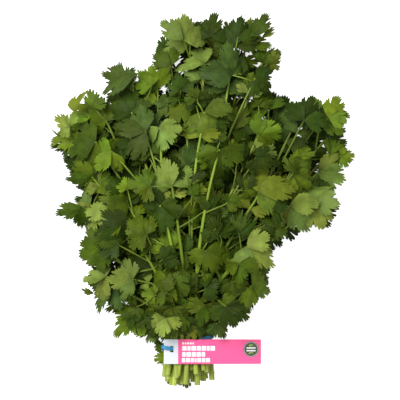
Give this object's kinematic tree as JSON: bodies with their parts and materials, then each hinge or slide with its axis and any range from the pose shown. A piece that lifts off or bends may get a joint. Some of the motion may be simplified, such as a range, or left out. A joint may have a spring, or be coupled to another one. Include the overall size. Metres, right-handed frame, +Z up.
{
  "type": "coriander bunch",
  "caption": "Bunch of fresh cut coriander lying flat: leafy stems held at the neck by a blue elastic band that threads a pink card tag",
  "frame": {"origin": "centre of the bounding box in plan, on the table under the bunch", "axes": "X to the right across the fan of stems, Y from the cut ends to the leaf tips, Z up from the table"},
  "size_m": [0.2254, 0.2787, 0.0666],
  "materials": {
    "leaf_green": "satin",
    "band_blue": "satin",
    "tag_card": "satin"
  },
  "bodies": {
    "root": {"leafy_stem_01": "leaf_green", "leafy_stem_02": "leaf_green", "leafy_stem_03": "leaf_green", "leafy_stem_04": "leaf_green", "leafy_stem_05": "leaf_green", "leafy_stem_06": "leaf_green", "leafy_stem_07": "leaf_green", "leafy_stem_08": "leaf_green", "leafy_stem_09": "leaf_green", "leafy_stem_10": "leaf_green", "leafy_stem_11": "leaf_green", "leafy_stem_12": "leaf_green", "leafy_stem_13": "leaf_green", "leafy_stem_14": "leaf_green", "leafy_stem_15": "leaf_green", "leafy_stem_16": "leaf_green", "leafy_stem_17": "leaf_green", "leafy_stem_18": "leaf_green", "leafy_stem_19": "leaf_green", "leafy_stem_20": "leaf_green", "leafy_stem_21": "leaf_green", "leafy_stem_22": "leaf_green", "leafy_stem_23": "leaf_green", "leafy_stem_24": "leaf_green", "leafy_stem_25": "leaf_green", "leafy_stem_26": "leaf_green", "leafy_stem_27": "leaf_green", "leafy_stem_28": "leaf_green", "leafy_stem_29": "leaf_green", "leafy_stem_30": "leaf_green", "leafy_stem_31": "leaf_green", "leafy_stem_32": "leaf_green", "leafy_stem_33": "leaf_green", "leafy_stem_34": "leaf_green", "leafy_stem_35": "leaf_green", "leafy_stem_36": "leaf_green", "leafy_stem_37": "leaf_green", "leafy_stem_38": "leaf_green", "leafy_stem_39": "leaf_green", "leafy_stem_40": "leaf_green", "leafy_stem_41": "leaf_green", "leafy_stem_42": "leaf_green", "leafy_stem_43": "leaf_green", "leafy_stem_44": "leaf_green", "elastic_band": "band_blue", "card_tag": "tag_card"}
  },
  "joints": []
}
